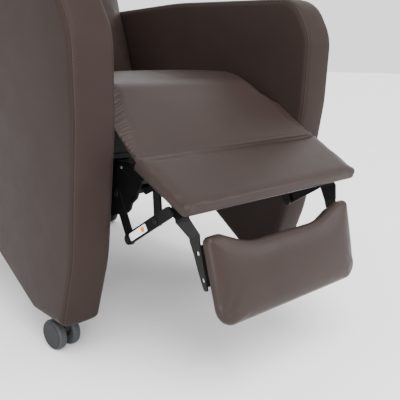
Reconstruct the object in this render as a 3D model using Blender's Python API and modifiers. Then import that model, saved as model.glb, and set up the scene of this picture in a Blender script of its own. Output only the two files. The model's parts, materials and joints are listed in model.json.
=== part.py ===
"""Recliner armchair on casters, with its leg rest out and a folding foot pad.

World frame: +Z up, the floor at z = 0, the sitter faces -Y and the sitter's left is +X.
Side outlines are given as (y, z) pairs, in metres, measured from the arms' front line.
"""

import math

import bmesh
import bpy
from mathutils import Matrix, Vector

# ---- overall size -----------------------------------------------------------------------
DEPTH_MIDDLE = 0.32476       # from the arms' front line back to the middle of the whole depth
GAP = 0.0003                 # left between pieces that touch

# ---- arms -------------------------------------------------------------------------------
ARM_OUTER_X = 0.3170
ARM_INNER_X = 0.2410
ARM_PAD = 0.0200             # thickness of the padded side skins
ARM_BAND = 0.0100            # thickness of the padded strip round the core's edge
ARM_EDGE_ROUND = 0.0060
FOOT_HEIGHT = 0.0780
ARM_TOP = 0.6700
ARM_REAR = 0.8650
TOE_ROUND = 0.0090            # the foot's front lower corner, seen from the side
CORE_TOE_ROUND = 0.0130

# ---- seat -------------------------------------------------------------------------------
SEAT_HALF_WIDTH = 0.2270
SEAT_BASE_Z = 0.3906         # underside of the seat cushion
SEAT_BOARD = 0.0100
SEAT_FRONT_TOP = 0.5190
SEAT_REAR_TOP = 0.4960
RAIL_INNER_X = 0.1780
RAIL_OUTER_X = 0.2060
RAIL_HEIGHT = 0.0300
RAIL_FRONT_Y = 0.0300
RAIL_REAR_Y = 0.6000
FRONT_BOARD = 0.0192         # upright board under the seat's front flap
FRONT_BOARD_TOP = 0.4480
SEAT_BOARD_HALF = 0.2150
CROSS_RAIL = 0.0380
FRONT_RAIL_Y = 0.2200
REAR_RAIL_Y = 0.5600

# ---- side mechanism: one pressed plate and a parallelogram of flat bars on each side ------
PLATE = 0.0042
BASE_PLATE_X = 0.2087        # middle of each layer's thickness
LINK_X = 0.2136
BAR_X = 0.2188
EAR_X = 0.1990
PAD_SHEET = 0.0026            # sheet thickness of the foot pad's brackets
SHEET_TUCK = 0.0001           # the joggle's faces stay just inside the sheets it joins
PAD_BRACKET_X = 0.1946
PAD_WEB_X = 0.1832
FOLD_AXIS = (-0.0600, 0.3720)
BAR_PIVOT = (-0.0970, 0.2960)
LINK_FOOT = (-0.0160, 0.2450)
LINK_AXIS = (FOLD_AXIS[0] + LINK_FOOT[0] - BAR_PIVOT[0],
             FOLD_AXIS[1] + LINK_FOOT[1] - BAR_PIVOT[1])
BAR_TIP = (-0.1300, 0.3168)
BAR_HALF_WIDTH = 0.0098
LINK_HALF_WIDTH = 0.0105
PIN_RADIUS = 0.0040
PIN_CLEARANCE = 0.0004
TUBE_RADIUS = 0.0080
RIVET_HEAD = 0.0062
RIVET_PROUD = 0.0018
FOLD_LUG = 0.0064            # round nose of the base plate about the fold axis

# ---- leg rest ---------------------------------------------------------------------------
LEG_HALF_WIDTH = 0.2260
LEG_REAR = (-0.0625, 0.3940)     # top edge at the crease
LEG_FRONT = (-0.1830, 0.3335)    # top edge at the front
LEG_CUSHION = 0.0140
LEG_BOARD = 0.0065
LEG_BOARD_INSET = 0.0120

# ---- foot pad ---------------------------------------------------------------------------
FOOT_AXIS = (-0.1280, 0.3120)
PAD_TOP = (-0.1810, 0.2810)
PAD_BOTTOM = (-0.2185, 0.1310)
PAD_HALF_WIDTH = 0.1900
PAD_CUSHION = 0.0140
PAD_BOARD = 0.0045
PAD_FLANGE = 0.0025
PAD_HOLE_RADIUS = 0.0042
PAD_DIP = 0.0260

# ---- backrest ---------------------------------------------------------------------------
BACK_AXIS = (0.6150, 0.4000)
BACK_LEAN = math.radians(16.5)
BACK_HALF_WIDTH = 0.2320
BACK_FACE = -0.0990          # front of the back cushion, from the recline axis
BACK_FRAME_FACE = 0.0080
BACK_FRAME = 0.0200
BACK_COVER = 0.0160
BACK_BOTTOM = 0.0300
BACK_TOP = 0.7000
HEAD_JOIN = 0.4700

# ---- casters ----------------------------------------------------------------------------
CASTER_X = 0.2820
CASTER_FRONT_Y = 0.1250
CASTER_REAR_Y = 0.8200
CASTER_SWIVEL = math.radians(6.4)
CASTER_TRAIL = 0.0100
WHEEL_RADIUS = 0.0310
WHEEL_WIDTH = 0.0175
WHEEL_GAP = 0.0145
AXLE_RADIUS = 0.0040

# ---- facets -----------------------------------------------------------------------------
ARC_STEPS = 5
ROUND_STEPS = 24
PIN_STEPS = 16

ALONG_X = (math.radians(90), 0, math.radians(90))

FINISHES = {
    "leather": ((0.115, 0.085, 0.075), 0.42, 0.0),
    "frame_wood": ((0.52, 0.38, 0.22), 0.60, 0.0),
    "black_steel": ((0.012, 0.012, 0.012), 0.40, 0.7),
    "black_board": ((0.020, 0.019, 0.018), 0.75, 0.0),
    "caster_grey": ((0.060, 0.064, 0.068), 0.50, 0.0),
    "tyre_grey": ((0.150, 0.155, 0.158), 0.65, 0.0),
    "label_white": ((0.800, 0.800, 0.800), 0.50, 0.0),
}


# ---- scene ------------------------------------------------------------------------------
def clear_scene():
    for piece in list(bpy.data.objects):
        bpy.data.objects.remove(piece, do_unlink=True)


def new_collection(name):
    collection = bpy.data.collections.new(name)
    bpy.context.scene.collection.children.link(collection)
    return collection


def finish_material(slot):
    material = bpy.data.materials.get(slot)
    if material is None:
        colour, roughness, metallic = FINISHES[slot]
        material = bpy.data.materials.new(slot)
        material.use_nodes = True
        shader = material.node_tree.nodes["Principled BSDF"]
        shader.inputs["Base Color"].default_value = (*colour, 1)
        shader.inputs["Roughness"].default_value = roughness
        shader.inputs["Metallic"].default_value = metallic
    return material


# ---- outlines ---------------------------------------------------------------------------
def fillet_outline(corners, steps=ARC_STEPS):
    """Points round a closed outline whose corners are (a, b, radius)."""
    points = []
    count = len(corners)
    for index, (a, b, radius) in enumerate(corners):
        corner = Vector((a, b))
        before = (Vector(corners[index - 1][:2]) - corner).normalized()
        after = (Vector(corners[(index + 1) % count][:2]) - corner).normalized()
        if radius == 0:
            points.append(tuple(corner))
            continue
        half = before.angle(after) / 2
        reach = radius / math.tan(half)
        centre = corner + (before + after).normalized() * (radius / math.sin(half))
        start = corner + before * reach - centre
        sweep = start.angle_signed(corner + after * reach - centre)
        for step in range(steps + 1):
            turned = start.copy()
            turned.rotate(Matrix.Rotation(-sweep * step / steps, 2))
            points.append(tuple(centre + turned))
    return points


def inset_outline(points, distance):
    """The same anticlockwise outline, drawn in by a distance."""
    drawn_in = []
    count = len(points)
    for index in range(count):
        here = Vector(points[index])
        back = (here - Vector(points[index - 1])).normalized()
        ahead = (Vector(points[(index + 1) % count]) - here).normalized()
        inward = Vector((-back.y - ahead.y, back.x + ahead.x)).normalized()
        slant = inward.dot(Vector((-ahead.y, ahead.x)))
        drawn_in.append(tuple(here + inward * distance / slant))
    return drawn_in


def rod_outline(ends, half_width):
    """A flat bar with round ends, as a closed outline."""
    start, end = Vector(ends[0]), Vector(ends[1])
    heading = math.atan2(end.y - start.y, end.x - start.x)
    steps = PIN_STEPS // 2
    points = []
    for centre, first in ((end, heading - math.pi / 2), (start, heading + math.pi / 2)):
        for step in range(steps + 1):
            angle = first + math.pi * step / steps
            points.append((centre.x + half_width * math.cos(angle),
                           centre.y + half_width * math.sin(angle)))
    return points


# ---- solids -----------------------------------------------------------------------------
def add_piece(name, mesh, slot, parent, collection=None):
    piece = bpy.data.objects.new(name, mesh)
    (collection or CHAIR).objects.link(piece)
    piece.parent = parent
    if slot:
        mesh.materials.clear()
        mesh.materials.append(finish_material(slot))
    return piece


def outline_mesh(name, points, thickness):
    """A flat outline with thickness, in its own X-Y plane, as a welded mesh."""
    curve = bpy.data.curves.new(name + "_outline", "CURVE")
    curve.dimensions = "2D"
    curve.fill_mode = "BOTH"
    curve.extrude = thickness / 2
    spline = curve.splines.new("POLY")
    spline.points.add(len(points) - 1)
    for point, (a, b) in zip(spline.points, points):
        point.co = (a, b, 0, 1)
    spline.use_cyclic_u = True
    holder = bpy.data.objects.new(name + "_outline", curve)
    CUTTERS.objects.link(holder)
    evaluated = holder.evaluated_get(bpy.context.evaluated_depsgraph_get())
    mesh = bpy.data.meshes.new_from_object(evaluated)
    mesh.name = name
    bpy.data.objects.remove(holder, do_unlink=True)
    welded = bmesh.new()
    welded.from_mesh(mesh)
    bmesh.ops.remove_doubles(welded, verts=welded.verts, dist=0.00001)
    bmesh.ops.recalc_face_normals(welded, faces=welded.faces)
    welded.to_mesh(mesh)
    welded.free()
    return mesh


def side_plate(name, points, low_x, high_x, slot=None, parent=None, collection=None):
    """An outline in the side plane, as thick as the stretch from low_x to high_x."""
    mesh = outline_mesh(name, points, abs(high_x - low_x))
    piece = add_piece(name, mesh, slot, parent, collection)
    piece.location = ((low_x + high_x) / 2, 0, 0)
    piece.rotation_euler = ALONG_X
    return piece


def layer_plate(name, points, middle_x, slot=None, parent=None, collection=None):
    half = PLATE / 2
    return side_plate(name, points, middle_x - half, middle_x + half, slot, parent, collection)


def box_piece(name, low, high, slot=None, parent=None, collection=None):
    low, high = Vector(low), Vector(high)
    shape = bmesh.new()
    bmesh.ops.create_cube(shape, size=1)
    bmesh.ops.scale(shape, vec=high - low, verts=shape.verts)
    mesh = bpy.data.meshes.new(name)
    shape.to_mesh(mesh)
    shape.free()
    piece = add_piece(name, mesh, slot, parent, collection)
    piece.location = (low + high) / 2
    return piece


def rod_x(name, radius, low_x, high_x, place, slot=None, parent=None, collection=None,
          steps=PIN_STEPS):
    """A round bar along X through the side-plane point called place."""
    shape = bmesh.new()
    bmesh.ops.create_cone(shape, cap_ends=True, segments=steps, radius1=radius,
                          radius2=radius, depth=abs(high_x - low_x))
    mesh = bpy.data.meshes.new(name)
    shape.to_mesh(mesh)
    shape.free()
    piece = add_piece(name, mesh, slot, parent, collection)
    piece.location = ((low_x + high_x) / 2, *place)
    piece.rotation_euler = ALONG_X
    return piece


def round_edges(piece, width, segments=2, angle=35):
    bevel = piece.modifiers.new("rounded edges", "BEVEL")
    bevel.width = width
    bevel.segments = segments
    bevel.limit_method = "ANGLE"
    bevel.angle_limit = math.radians(angle)
    return piece


def combine(piece, tool, operation):
    """A Boolean with a hidden tool object, which becomes a cutter of the scene."""
    tool.hide_render = True
    tool.display_type = "WIRE"
    boolean = piece.modifiers.new(operation.lower(), "BOOLEAN")
    boolean.operation = operation
    boolean.solver = "EXACT"
    boolean.object = tool
    return piece


def cut_hole(piece, place, middle_x, radius=PIN_RADIUS + PIN_CLEARANCE):
    tool = rod_x(piece.name + "_hole", radius, middle_x - 0.01, middle_x + 0.01, place,
                 parent=piece.parent, collection=CUTTERS)
    return combine(piece, tool, "DIFFERENCE")


def add_pin(piece, place, from_x, to_x):
    """A pin standing out of a plate, with a wider head on its far end."""
    outward = math.copysign(1, to_x - from_x)
    shank = rod_x(piece.name + "_pin", PIN_RADIUS, from_x, to_x + outward * GAP, place,
                  parent=piece.parent, collection=CUTTERS)
    head = rod_x(piece.name + "_head", RIVET_HEAD, to_x, to_x + outward * RIVET_PROUD, place,
                 parent=piece.parent, collection=CUTTERS)
    combine(piece, shank, "UNION")
    return combine(piece, head, "UNION")


# ---- arms -------------------------------------------------------------------------------
def arm_outline(foot_end, arch_start, arch_top, toe_round=TOE_ROUND):
    """The arm seen from the side: bowed front, crowned top and an arch between two feet."""
    foot_rear = CASTER_REAR_Y + CASTER_FRONT_Y - foot_end
    arch_rear = CASTER_REAR_Y + CASTER_FRONT_Y - arch_start
    return fillet_outline([
        (0.062, FOOT_HEIGHT, toe_round),
        (foot_end, FOOT_HEIGHT, 0.020),
        (arch_start, arch_top, 0.080),
        (arch_rear, arch_top, 0.080),
        (foot_rear, FOOT_HEIGHT, 0.020),
        (ARM_REAR - 0.006, FOOT_HEIGHT, 0.018),
        (ARM_REAR + 0.004, ARM_TOP - 0.010, 0.060),
        (0.400, ARM_TOP + 0.006, 1.200),
        (0.012, ARM_TOP - 0.006, 0.070),
        (-0.031, 0.590, 0.090),
        (-0.026, 0.455, 0.300),
        (0.012, 0.212, 0.300),
    ])


def build_arm(side, name):
    outer = arm_outline(0.178, 0.378, 0.192)
    middle = arm_outline(0.160, 0.350, 0.198, CORE_TOE_ROUND)
    inner = arm_outline(0.120, 0.302, 0.206)
    core_low = side * (ARM_INNER_X + ARM_PAD + GAP)
    core_high = side * (ARM_OUTER_X - ARM_PAD - GAP)
    outer_pad = side_plate("arm_outer_pad_" + name, outer, side * (ARM_OUTER_X - ARM_PAD),
                           side * ARM_OUTER_X, "leather", BASE)
    round_edges(outer_pad, ARM_EDGE_ROUND, 1)
    inner_pad = side_plate("arm_inner_pad_" + name, inner, side * ARM_INNER_X,
                           side * (ARM_INNER_X + ARM_PAD), "leather", BASE)
    round_edges(inner_pad, ARM_EDGE_ROUND, 1)
    band = side_plate("arm_edge_band_" + name, middle, core_low, core_high, "leather", BASE)
    hollow = side_plate("arm_core_hollow_" + name, inset_outline(middle, ARM_BAND),
                        core_low - side * 0.01, core_high + side * 0.01,
                        parent=BASE, collection=CUTTERS)
    combine(band, hollow, "DIFFERENCE")
    side_plate("arm_core_" + name, inset_outline(middle, ARM_BAND + GAP), core_low, core_high,
               "frame_wood", BASE)


# ---- seat -------------------------------------------------------------------------------
def build_seat():
    board_top = SEAT_BASE_Z - GAP
    rail_top = board_top - SEAT_BOARD - GAP
    rail_base = rail_top - RAIL_HEIGHT
    cross_top = rail_base - GAP
    for side, name in SIDES:
        rail = box_piece("seat_rail_" + name,
                         (min(side * RAIL_INNER_X, side * RAIL_OUTER_X), RAIL_FRONT_Y, rail_base),
                         (max(side * RAIL_INNER_X, side * RAIL_OUTER_X), RAIL_REAR_Y, rail_top),
                         "black_steel", BASE)
        round_edges(rail, 0.003, 1)
    for name, place in (("front", FRONT_RAIL_Y), ("rear", REAR_RAIL_Y)):
        rail = box_piece(name + "_cross_rail",
                         (-ARM_INNER_X + GAP, place, cross_top - CROSS_RAIL),
                         (ARM_INNER_X - GAP, place + CROSS_RAIL, cross_top),
                         "black_board", BASE)
        round_edges(rail, 0.003, 1)
    board = box_piece("seat_board", (-SEAT_BOARD_HALF, RAIL_FRONT_Y, board_top - SEAT_BOARD),
                      (SEAT_BOARD_HALF, 0.498, board_top), "black_board", BASE)
    round_edges(board, 0.002, 1)
    front = box_piece("seat_front_board", (-SEAT_BOARD_HALF, RAIL_FRONT_Y, SEAT_BASE_Z),
                      (SEAT_BOARD_HALF, RAIL_FRONT_Y + FRONT_BOARD, FRONT_BOARD_TOP - GAP),
                      "black_board", BASE)
    round_edges(front, 0.001, 1)
    rear_lean = math.tan(BACK_LEAN)
    rear_top_y = 0.5340
    rear_base_y = rear_top_y - (SEAT_REAR_TOP - SEAT_BASE_Z) * rear_lean
    board_rear = RAIL_FRONT_Y + FRONT_BOARD + GAP
    outline = fillet_outline([
        (-0.0570, SEAT_BASE_Z, 0.0),
        (-0.0480, SEAT_BASE_Z, 0.0),
        (0.0270, FRONT_BOARD_TOP, 0.0),
        (board_rear, FRONT_BOARD_TOP, 0.0),
        (board_rear, SEAT_BASE_Z, 0.0),
        (rear_base_y, SEAT_BASE_Z, 0.010),
        (rear_top_y, SEAT_REAR_TOP, 0.020),
        (0.1600, SEAT_FRONT_TOP + 0.001, 0.300),
        (0.0780, 0.5030, 0.060),
        (0.0380, 0.4730, 0.060),
        (-0.0570, 0.3975, 0.003),
    ], steps=3)
    cushion = side_plate("seat_cushion", outline, -SEAT_HALF_WIDTH, SEAT_HALF_WIDTH,
                         "leather", BASE)
    round_edges(cushion, 0.0025, 2, angle=50)


# ---- leg rest and foot pad --------------------------------------------------------------
def slab_frame(name, axis, top_front, top_rear):
    """An empty on the joint's axis, and the slab's length and slope in the side plane."""
    empty = bpy.data.objects.new(name, None)
    CHAIR.objects.link(empty)
    empty.parent = BASE
    empty.location = (0, *axis)
    run = Vector(top_rear) - Vector(top_front)
    return empty, run.length, math.atan2(run.y, run.x)


def slab_point(start, slope, along, below):
    """A side-plane point at a distance along a slab's top and another below it."""
    return (start[0] + along * math.cos(slope) + below * math.sin(slope),
            start[1] + along * math.sin(slope) - below * math.cos(slope))


def slab_outline(start, slope, along, below, radius):
    corners = []
    for length, depth in ((along[0], below[1]), (along[1], below[1]),
                          (along[1], below[0]), (along[0], below[0])):
        corners.append((*slab_point(start, slope, length, depth), radius))
    return fillet_outline(corners, steps=3)


def shifted(points, origin):
    return [(y - origin[0], z - origin[1]) for y, z in points]


def build_leg_rest():
    empty, length, slope = slab_frame("leg_rest_pivot", FOLD_AXIS, LEG_FRONT, LEG_REAR)
    cushion = slab_outline(LEG_FRONT, slope, (0, length), (0, LEG_CUSHION), 0.006)
    piece = side_plate("legrest_cushion", shifted(cushion, FOLD_AXIS), -LEG_HALF_WIDTH,
                       LEG_HALF_WIDTH, "leather", empty)
    round_edges(piece, 0.003, 2, angle=50)
    board_top = LEG_CUSHION + GAP
    board_base = board_top + LEG_BOARD
    board = slab_outline(LEG_FRONT, slope, (LEG_BOARD_INSET, length - 0.020),
                         (board_top, board_base), 0.002)
    board_half = LEG_HALF_WIDTH - LEG_BOARD_INSET
    side_plate("legrest_board", shifted(board, FOLD_AXIS), -board_half, board_half,
               "black_board", empty)
    for side, name in SIDES:
        build_leg_bracket(side, name, empty, length, slope, board_base + GAP)
    return empty


def build_leg_bracket(side, name, empty, length, slope, depth):
    """An angle iron under the board, with a drop arm outside and an ear inside."""
    flange = slab_outline(LEG_FRONT, slope, (0.016, length - 0.030), (depth, depth + 0.003),
                          0.0005)
    inner = side * (EAR_X - PLATE / 2)
    outer = side * (LINK_X + PLATE / 2)
    label = "legrest_bracket_" + name
    piece = side_plate(label, shifted(flange, FOLD_AXIS), inner, outer, "black_steel", empty)
    root_near = slab_point(LEG_FRONT, slope, length - 0.036, depth + 0.001)
    root_far = slab_point(LEG_FRONT, slope, length - 0.056, depth + 0.001)
    drop = fillet_outline([
        (*root_far, 0.001),
        (BAR_PIVOT[0] - 0.0095, BAR_PIVOT[1] - 0.0095, 0.009),
        (BAR_PIVOT[0] + 0.0095, BAR_PIVOT[1] - 0.0095, 0.009),
        (*root_near, 0.001),
        (FOLD_AXIS[0] + 0.0080, FOLD_AXIS[1] - 0.0080, 0.007),
        (FOLD_AXIS[0] + 0.0080, FOLD_AXIS[1] + 0.0055, 0.006),
        (*slab_point(LEG_FRONT, slope, length - 0.0155, 0.0150), 0.002),
        (*slab_point(LEG_FRONT, slope, length - 0.0170, depth), 0.001),
        (*slab_point(LEG_FRONT, slope, length - 0.060, depth), 0.001),
    ], steps=3)
    arm = layer_plate(label + "_drop", shifted(drop, FOLD_AXIS), side * LINK_X,
                      parent=empty, collection=CUTTERS)
    front = slab_point(LEG_FRONT, slope, 0.042, depth + 0.001)
    ear = fillet_outline([
        (*front, 0.001),
        (FOOT_AXIS[0] - 0.011, FOOT_AXIS[1] - 0.011, 0.009),
        (FOOT_AXIS[0] + 0.010, FOOT_AXIS[1] - 0.010, 0.008),
        (-0.1150, 0.3215, 0.004),
        (-0.0960, 0.3325, 0.003),
        (-0.0860, 0.3325, 0.002),
        (-0.0650, 0.3380, 0.003),
        (-0.0450, 0.3280, 0.003),
        (-0.0380, 0.3340, 0.003),
        (*slab_point(LEG_FRONT, slope, length - 0.030, depth + 0.006), 0.004),
        (*slab_point(LEG_FRONT, slope, length - 0.034, depth + 0.001), 0.001),
    ], steps=3)
    web = layer_plate(label + "_ear", shifted(ear, FOLD_AXIS), side * EAR_X,
                      parent=empty, collection=CUTTERS)
    combine(piece, arm, "UNION")
    combine(piece, web, "UNION")
    cut_hole(piece, shifted([BAR_PIVOT], FOLD_AXIS)[0], side * LINK_X)
    add_pin(piece, (0, 0), side * LINK_X, side * (BASE_PLATE_X - PLATE / 2 - 2 * GAP))
    add_pin(piece, shifted([FOOT_AXIS], FOLD_AXIS)[0], side * EAR_X,
            side * (PAD_BRACKET_X - PAD_SHEET / 2 - 2 * GAP))


def build_foot_pad():
    empty = bpy.data.objects.new("foot_pad_pivot", None)
    CHAIR.objects.link(empty)
    empty.parent = BASE
    empty.location = (0, *FOOT_AXIS)
    fall = Vector(PAD_BOTTOM) - Vector(PAD_TOP)
    tilt = math.atan2(-fall.x, -fall.y)
    face = pad_outline(fall.length, 0)
    board = pad_outline(fall.length, 0.006)
    for name, outline, front, back, slot, rounding in (
            ("footpad_cushion", face, 0, PAD_CUSHION, "leather", 0.006),
            ("footpad_board", board, PAD_CUSHION + GAP, PAD_CUSHION + GAP + PAD_BOARD,
             "black_board", 0.0)):
        mesh = outline_mesh(name, outline, back - front)
        piece = add_piece(name, mesh, slot, empty)
        middle = Vector(PAD_TOP) - Vector(FOOT_AXIS)
        middle += Vector((math.cos(tilt), -math.sin(tilt))) * (front + back) / 2
        piece.location = (0, *middle)
        piece.rotation_euler = (math.radians(90) - tilt, 0, 0)
        if rounding:
            round_edges(piece, rounding, 2, angle=50)
    for side, name in SIDES:
        build_pad_bracket(side, name, empty, tilt)
    return empty


def pad_outline(height, margin):
    """The pad's face, its top corner points at zero height: raised ears and a dip between."""
    half = PAD_HALF_WIDTH - margin
    low = -height + margin
    return fillet_outline([
        (-half + 0.003, low, 0.036),
        (half - 0.003, low, 0.036),
        (half, -margin, 0.010),
        (half - 0.040, -margin, 0.020),
        (half - 0.095, -PAD_DIP - margin, 0.150),
        (-half + 0.095, -PAD_DIP - margin, 0.150),
        (-half + 0.040, -margin, 0.020),
        (-half, -margin, 0.010),
    ], steps=4)


def sheet_hull(name, low_quad, low_x, high_quad, high_x, parent):
    """A straight stretch of bent sheet between two edges, each (y, z) pairs at its own x."""
    half = PAD_SHEET / 2 - SHEET_TUCK
    shape = bmesh.new()
    for quad, x in ((low_quad, low_x), (high_quad, high_x)):
        for y, z in quad:
            for nudge in (-half, half):
                shape.verts.new((x + nudge, y, z))
    bmesh.ops.convex_hull(shape, input=shape.verts)
    mesh = bpy.data.meshes.new(name)
    shape.to_mesh(mesh)
    shape.free()
    return add_piece(name, mesh, None, parent, CUTTERS)


def build_pad_bracket(side, name, empty, tilt):
    """Bent sheet: a lug on the pivot, a web joggled inwards behind the pad and a flange."""
    back = Vector((math.cos(tilt), -math.sin(tilt)))
    down = Vector((-math.sin(tilt), -math.cos(tilt)))
    board_back = PAD_CUSHION + PAD_BOARD + 2 * GAP

    def spot(lower, behind):
        return tuple(Vector(PAD_TOP) + down * lower + back * behind)

    def sheet(label, points, x, slot=None, collection=CUTTERS):
        return side_plate(label, shifted(points, FOOT_AXIS), side * (x - PAD_SHEET / 2),
                          side * (x + PAD_SHEET / 2), slot, empty, collection)

    label = "footpad_bracket_" + name
    lug = fillet_outline([
        (FOOT_AXIS[0] - 0.010, FOOT_AXIS[1] + 0.011, 0.009),
        (-0.1530, 0.3060, 0.004),
        (-0.1545, 0.3040, 0.0),
        (-0.1190, 0.2925, 0.0),
        (FOOT_AXIS[0] + 0.011, FOOT_AXIS[1] - 0.010, 0.006),
        (FOOT_AXIS[0] + 0.011, FOOT_AXIS[1] + 0.009, 0.009),
    ], steps=3)
    web = fillet_outline([
        (-0.1392, 0.2700, 0.0),
        (-0.1640, 0.2800, 0.0),
        (*spot(0.0000, 0.0175), 0.003),
        (*spot(0.0100, board_back), 0.003),
        (*spot(0.0910, board_back), 0.002),
        (*spot(0.0910, 0.0275), 0.005),
        (*spot(0.0600, 0.0340), 0.060),
        (*spot(0.0280, 0.0385), 0.040),
        (*spot(0.0090, 0.0430), 0.008),
    ], steps=3)
    piece = sheet(label, lug, PAD_BRACKET_X, "black_steel", CHAIR)
    upper_edge = shifted([(-0.1178, 0.2945), (-0.1532, 0.3056), (-0.1542, 0.3045),
                          (-0.1188, 0.2930)], FOOT_AXIS)
    lower_edge = shifted([(-0.1388, 0.2705), (-0.1642, 0.2805), (-0.1648, 0.2790),
                          (-0.1396, 0.2688)], FOOT_AXIS)
    slope = sheet_hull(label + "_joggle", upper_edge, side * PAD_BRACKET_X, lower_edge,
                       side * PAD_WEB_X, empty)
    foot = fillet_outline([
        (*spot(0.014, board_back), 0.0), (*spot(0.014, board_back + PAD_FLANGE), 0.0),
        (*spot(0.084, board_back + PAD_FLANGE), 0.0), (*spot(0.084, board_back), 0.0)])
    flange = side_plate(label + "_flange", shifted(foot, FOOT_AXIS), side * PAD_WEB_X,
                        side * 0.160, parent=empty, collection=CUTTERS)
    combine(piece, slope, "UNION")
    combine(piece, sheet(label + "_web", web, PAD_WEB_X), "UNION")
    combine(piece, flange, "UNION")
    cut_hole(piece, (0, 0), side * PAD_BRACKET_X)
    for lower, behind in ((0.0276, 0.0278), (0.0727, 0.0256)):
        place = shifted([spot(lower, behind)], FOOT_AXIS)[0]
        cut_hole(piece, place, side * PAD_WEB_X, PAD_HOLE_RADIUS)


# ---- side mechanism ---------------------------------------------------------------------
def build_base_plate(side, name):
    outline = fillet_outline([
        (0.0440, 0.2745, 0.004),
        (0.0900, 0.2900, 0.020),
        (0.2100, 0.3250, 0.020),
        (0.2100, FOLD_AXIS[1] + FOLD_LUG, 0.004),
        (FOLD_AXIS[0] - FOLD_LUG, FOLD_AXIS[1] + FOLD_LUG, FOLD_LUG),
        (FOLD_AXIS[0] - FOLD_LUG, FOLD_AXIS[1] - FOLD_LUG, 0.005),
        (-0.0470, 0.3500, 0.004),
        (-0.0320, 0.3200, 0.006),
        (-0.0170, 0.3080, 0.004),
        (-0.0130, 0.2975, 0.003),
        (-0.0030, 0.2890, 0.004),
        (0.0250, 0.2810, 0.006),
    ], steps=3)
    piece = layer_plate("base_plate_" + name, outline, side * BASE_PLATE_X, "black_steel", BASE)
    cut_hole(piece, LINK_AXIS, side * BASE_PLATE_X, TUBE_RADIUS + PIN_CLEARANCE)
    cut_hole(piece, FOLD_AXIS, side * BASE_PLATE_X)


def build_rear_links():
    empty = bpy.data.objects.new("rear_link_pivot", None)
    CHAIR.objects.link(empty)
    empty.parent = BASE
    empty.location = (0, *LINK_AXIS)
    foot = Vector(LINK_FOOT) - Vector(LINK_AXIS)
    for side, name in SIDES:
        link = layer_plate("rear_link_" + name, rod_outline(((0, 0), foot), LINK_HALF_WIDTH),
                           side * LINK_X, "black_steel", empty)
        cut_hole(link, foot, side * LINK_X)
    reach = LINK_X - PLATE / 2 - GAP
    rod_x("torque_tube", TUBE_RADIUS, -reach, reach, (0, 0), "black_steel", empty)


def build_long_bar(side, name):
    empty = bpy.data.objects.new("long_bar_pivot_" + name, None)
    CHAIR.objects.link(empty)
    empty.parent = BASE
    empty.location = (0, *BAR_PIVOT)
    ends = (Vector(LINK_FOOT) - Vector(BAR_PIVOT), Vector(BAR_TIP) - Vector(BAR_PIVOT))
    bar = layer_plate("long_bar_" + name, rod_outline(ends, BAR_HALF_WIDTH), side * BAR_X,
                      "black_steel", empty)
    for place in ((0, 0), ends[0]):
        add_pin(bar, place, side * (LINK_X - PLATE / 2), side * (BAR_X + PLATE / 2 - 2 * GAP))
    return empty, ends


def build_label(empty, ends):
    """A plain sticker on the outside of the right-hand bar, near its low end."""
    start, end = ends
    along = (end - start).normalized()
    across = Vector((-along.y, along.x)) * 0.0072
    near = start + along * 0.008
    far = start + along * 0.070
    corners = [(*(near - across), 0.0), (*(far - across), 0.0),
               (*(far + across), 0.0), (*(near + across), 0.0)]
    face = -(BAR_X + PLATE / 2 + GAP)
    side_plate("bar_label", fillet_outline(corners), face - 0.0005, face, "label_white", empty)


# ---- backrest ---------------------------------------------------------------------------
def build_backrest():
    empty = bpy.data.objects.new("recline_pivot", None)
    CHAIR.objects.link(empty)
    empty.parent = BASE
    empty.location = (0, *BACK_AXIS)
    empty.rotation_euler = (-BACK_LEAN, 0, 0)
    half = BACK_HALF_WIDTH
    face, board = BACK_FACE, BACK_FRAME_FACE
    pad = fillet_outline([
        (face + 0.012, BACK_BOTTOM, 0.020), (board - GAP, BACK_BOTTOM, 0.003),
        (board - GAP, HEAD_JOIN - GAP, 0.003), (face + 0.006, HEAD_JOIN - GAP, 0.022),
        (face - 0.004, 0.200, 0.200)], steps=3)
    piece = side_plate("back_cushion", pad, -half, half, "leather", empty)
    round_edges(piece, 0.010, 2, angle=50)
    head = fillet_outline([
        (face, HEAD_JOIN + GAP, 0.022), (board - GAP, HEAD_JOIN + GAP, 0.003),
        (board - GAP, BACK_TOP, 0.006), (face + 0.016, BACK_TOP - 0.010, 0.040),
        (face - 0.010, 0.580, 0.120)], steps=3)
    piece = side_plate("head_cushion", head, -half, half, "leather", empty)
    round_edges(piece, 0.010, 2, angle=50)
    frame_edge = BASE_PLATE_X - PLATE / 2 - 2 * GAP
    piece = box_piece("back_frame", (-frame_edge, board, BACK_BOTTOM),
                      (frame_edge, board + BACK_FRAME, BACK_TOP - 0.012), "frame_wood", empty)
    round_edges(piece, 0.002, 1)
    cover_low = board + BACK_FRAME + GAP
    piece = box_piece("back_cover", (-half, cover_low, BACK_BOTTOM),
                      (half, cover_low + BACK_COVER, BACK_TOP), "leather", empty)
    round_edges(piece, 0.006, 2)
    plate = fillet_outline([
        (-0.013, -0.013, 0.012), (0.013, -0.013, 0.012), (board + 0.018, 0.024, 0.008),
        (board + 0.018, 0.240, 0.006), (board + 0.002, 0.240, 0.006),
        (board + 0.003, 0.022, 0.004), (-0.013, 0.010, 0.010)], steps=3)
    for side, name in SIDES:
        piece = layer_plate("back_hinge_plate_" + name, plate, side * LINK_X, "black_steel",
                            empty)
        add_pin(piece, (0, 0), side * LINK_X, side * (BASE_PLATE_X - PLATE / 2 - 2 * GAP))
        build_recline_bracket(side, name)


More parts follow.
